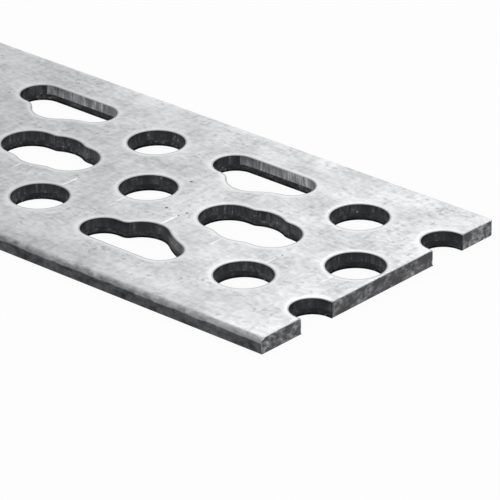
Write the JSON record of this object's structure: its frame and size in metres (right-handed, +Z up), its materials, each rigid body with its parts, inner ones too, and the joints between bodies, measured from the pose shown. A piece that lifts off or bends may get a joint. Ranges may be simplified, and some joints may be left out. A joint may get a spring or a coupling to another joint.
{
  "type": "slotted flat bar",
  "caption": "Flat galvanised steel bar punched in three staggered rows with round holes and long bolt slots.",
  "frame": {"origin": "centre of the bar's underside, on the surface that it lies on", "axes": "+X along the bar to the end that the punched pattern is counted from, +Y across it, +Z up"},
  "size_m": [0.3, 0.0508, 0.0025],
  "materials": {
    "galvanised_steel": "zinc coated, dull, lightly scuffed"
  },
  "bodies": {
    "root": {"slotted_flat": "galvanised_steel"}
  },
  "joints": []
}
